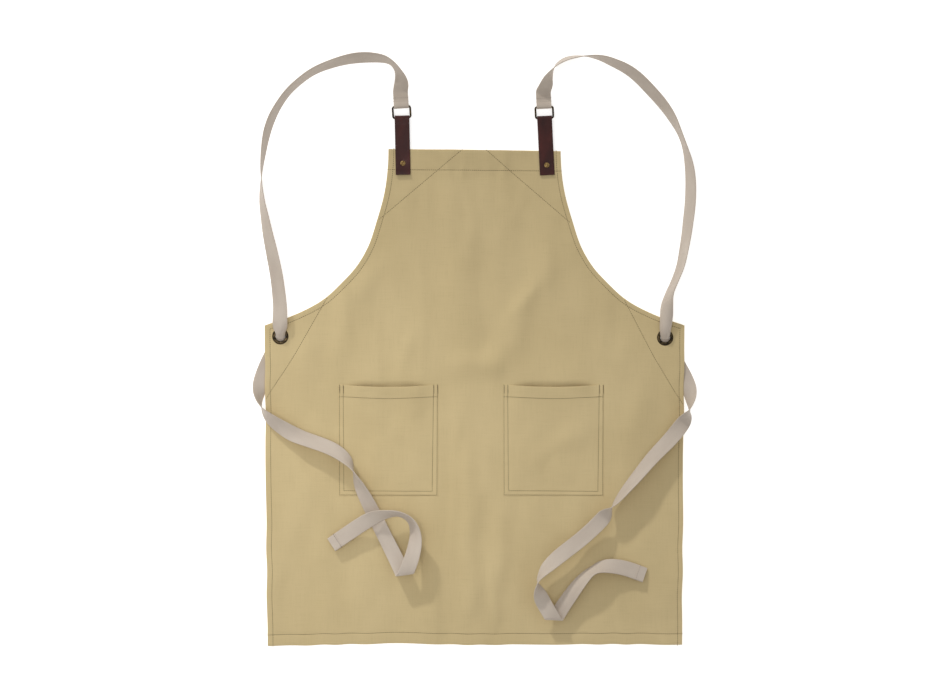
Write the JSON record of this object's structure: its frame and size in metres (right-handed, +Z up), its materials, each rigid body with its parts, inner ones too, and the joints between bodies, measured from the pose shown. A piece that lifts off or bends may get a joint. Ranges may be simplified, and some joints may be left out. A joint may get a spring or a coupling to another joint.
{
  "type": "artist smock apron",
  "caption": "Flat-laid canvas work apron with bib, two patch pockets, leather ring tabs and one-piece webbing neck and waist straps.",
  "frame": {"origin": "on the surface the apron lies on, at the middle of the apron's box without its straps", "axes": "+Y from the bottom hem to the bib, +X to the right seen from the front, +Z up out of the apron's front"},
  "size_m": [0.7442, 0.9775, 0.0427],
  "materials": {
    "canvas": "fine plain-weave cotton canvas, matte",
    "webbing": "ribbed cotton webbing, matte",
    "leather": "smooth dark reddish-brown, satin",
    "dark_brass": "antique dark brass, semi-gloss",
    "rivet_brass": "antique brass, worn bright at the top"
  },
  "bodies": {
    "apron": {"main_panel": "canvas", "bib_hem": "canvas", "bottom_hem": "canvas", "left_side_hem": "canvas", "left_armhole_hem": "canvas", "left_bib_patch": "canvas", "left_side_patch": "canvas", "left_pocket": "canvas", "left_pocket_hem": "canvas", "right_side_hem": "canvas", "right_armhole_hem": "canvas", "right_bib_patch": "canvas", "right_side_patch": "canvas", "right_pocket": "canvas", "right_pocket_hem": "canvas", "left_rivet_cap": "rivet_brass", "left_rivet_post": "rivet_brass", "left_grommet": "dark_brass", "left_grommet_washer": "dark_brass", "left_neck_strap": "webbing", "left_waist_tie": "webbing", "left_tie_end": "webbing", "right_rivet_cap": "rivet_brass", "right_rivet_post": "rivet_brass", "right_grommet": "dark_brass", "right_grommet_washer": "dark_brass", "right_neck_strap": "webbing", "right_waist_tie": "webbing", "right_tie_end": "webbing"},
    "left_tab": {"left_tab": "leather"},
    "left_ring": {"left_ring": "dark_brass", "left_strap_loop": "webbing"},
    "right_tab": {"right_tab": "leather"},
    "right_ring": {"right_ring": "dark_brass", "right_strap_loop": "webbing"}
  },
  "joints": [
    {"name": "left_tab_swivel", "type": "hinge", "parent": "apron", "child": "left_tab", "pos_m": [-0.118, 0.35, 0.0042], "axis": [0, 0, 1], "range_deg": [-20, 20], "deforming": ["left_neck_strap"]},
    {"name": "left_ring_flip", "type": "hinge", "parent": "left_tab", "child": "left_ring", "pos_m": [-0.11957, 0.42498, 0.004], "axis": [0.9979, 0.0645, 0], "range_deg": [0, 120], "deforming": ["left_neck_strap"]},
    {"name": "right_tab_swivel", "type": "hinge", "parent": "apron", "child": "right_tab", "pos_m": [0.119, 0.347, 0.0042], "axis": [0, 0, 1], "range_deg": [-20, 20], "deforming": ["right_neck_strap"]},
    {"name": "right_ring_flip", "type": "hinge", "parent": "right_tab", "child": "right_ring", "pos_m": [0.11535, 0.42441, 0.004], "axis": [0.9989, 0.0471, 0], "range_deg": [0, 120], "deforming": ["right_neck_strap"]}
  ]
}
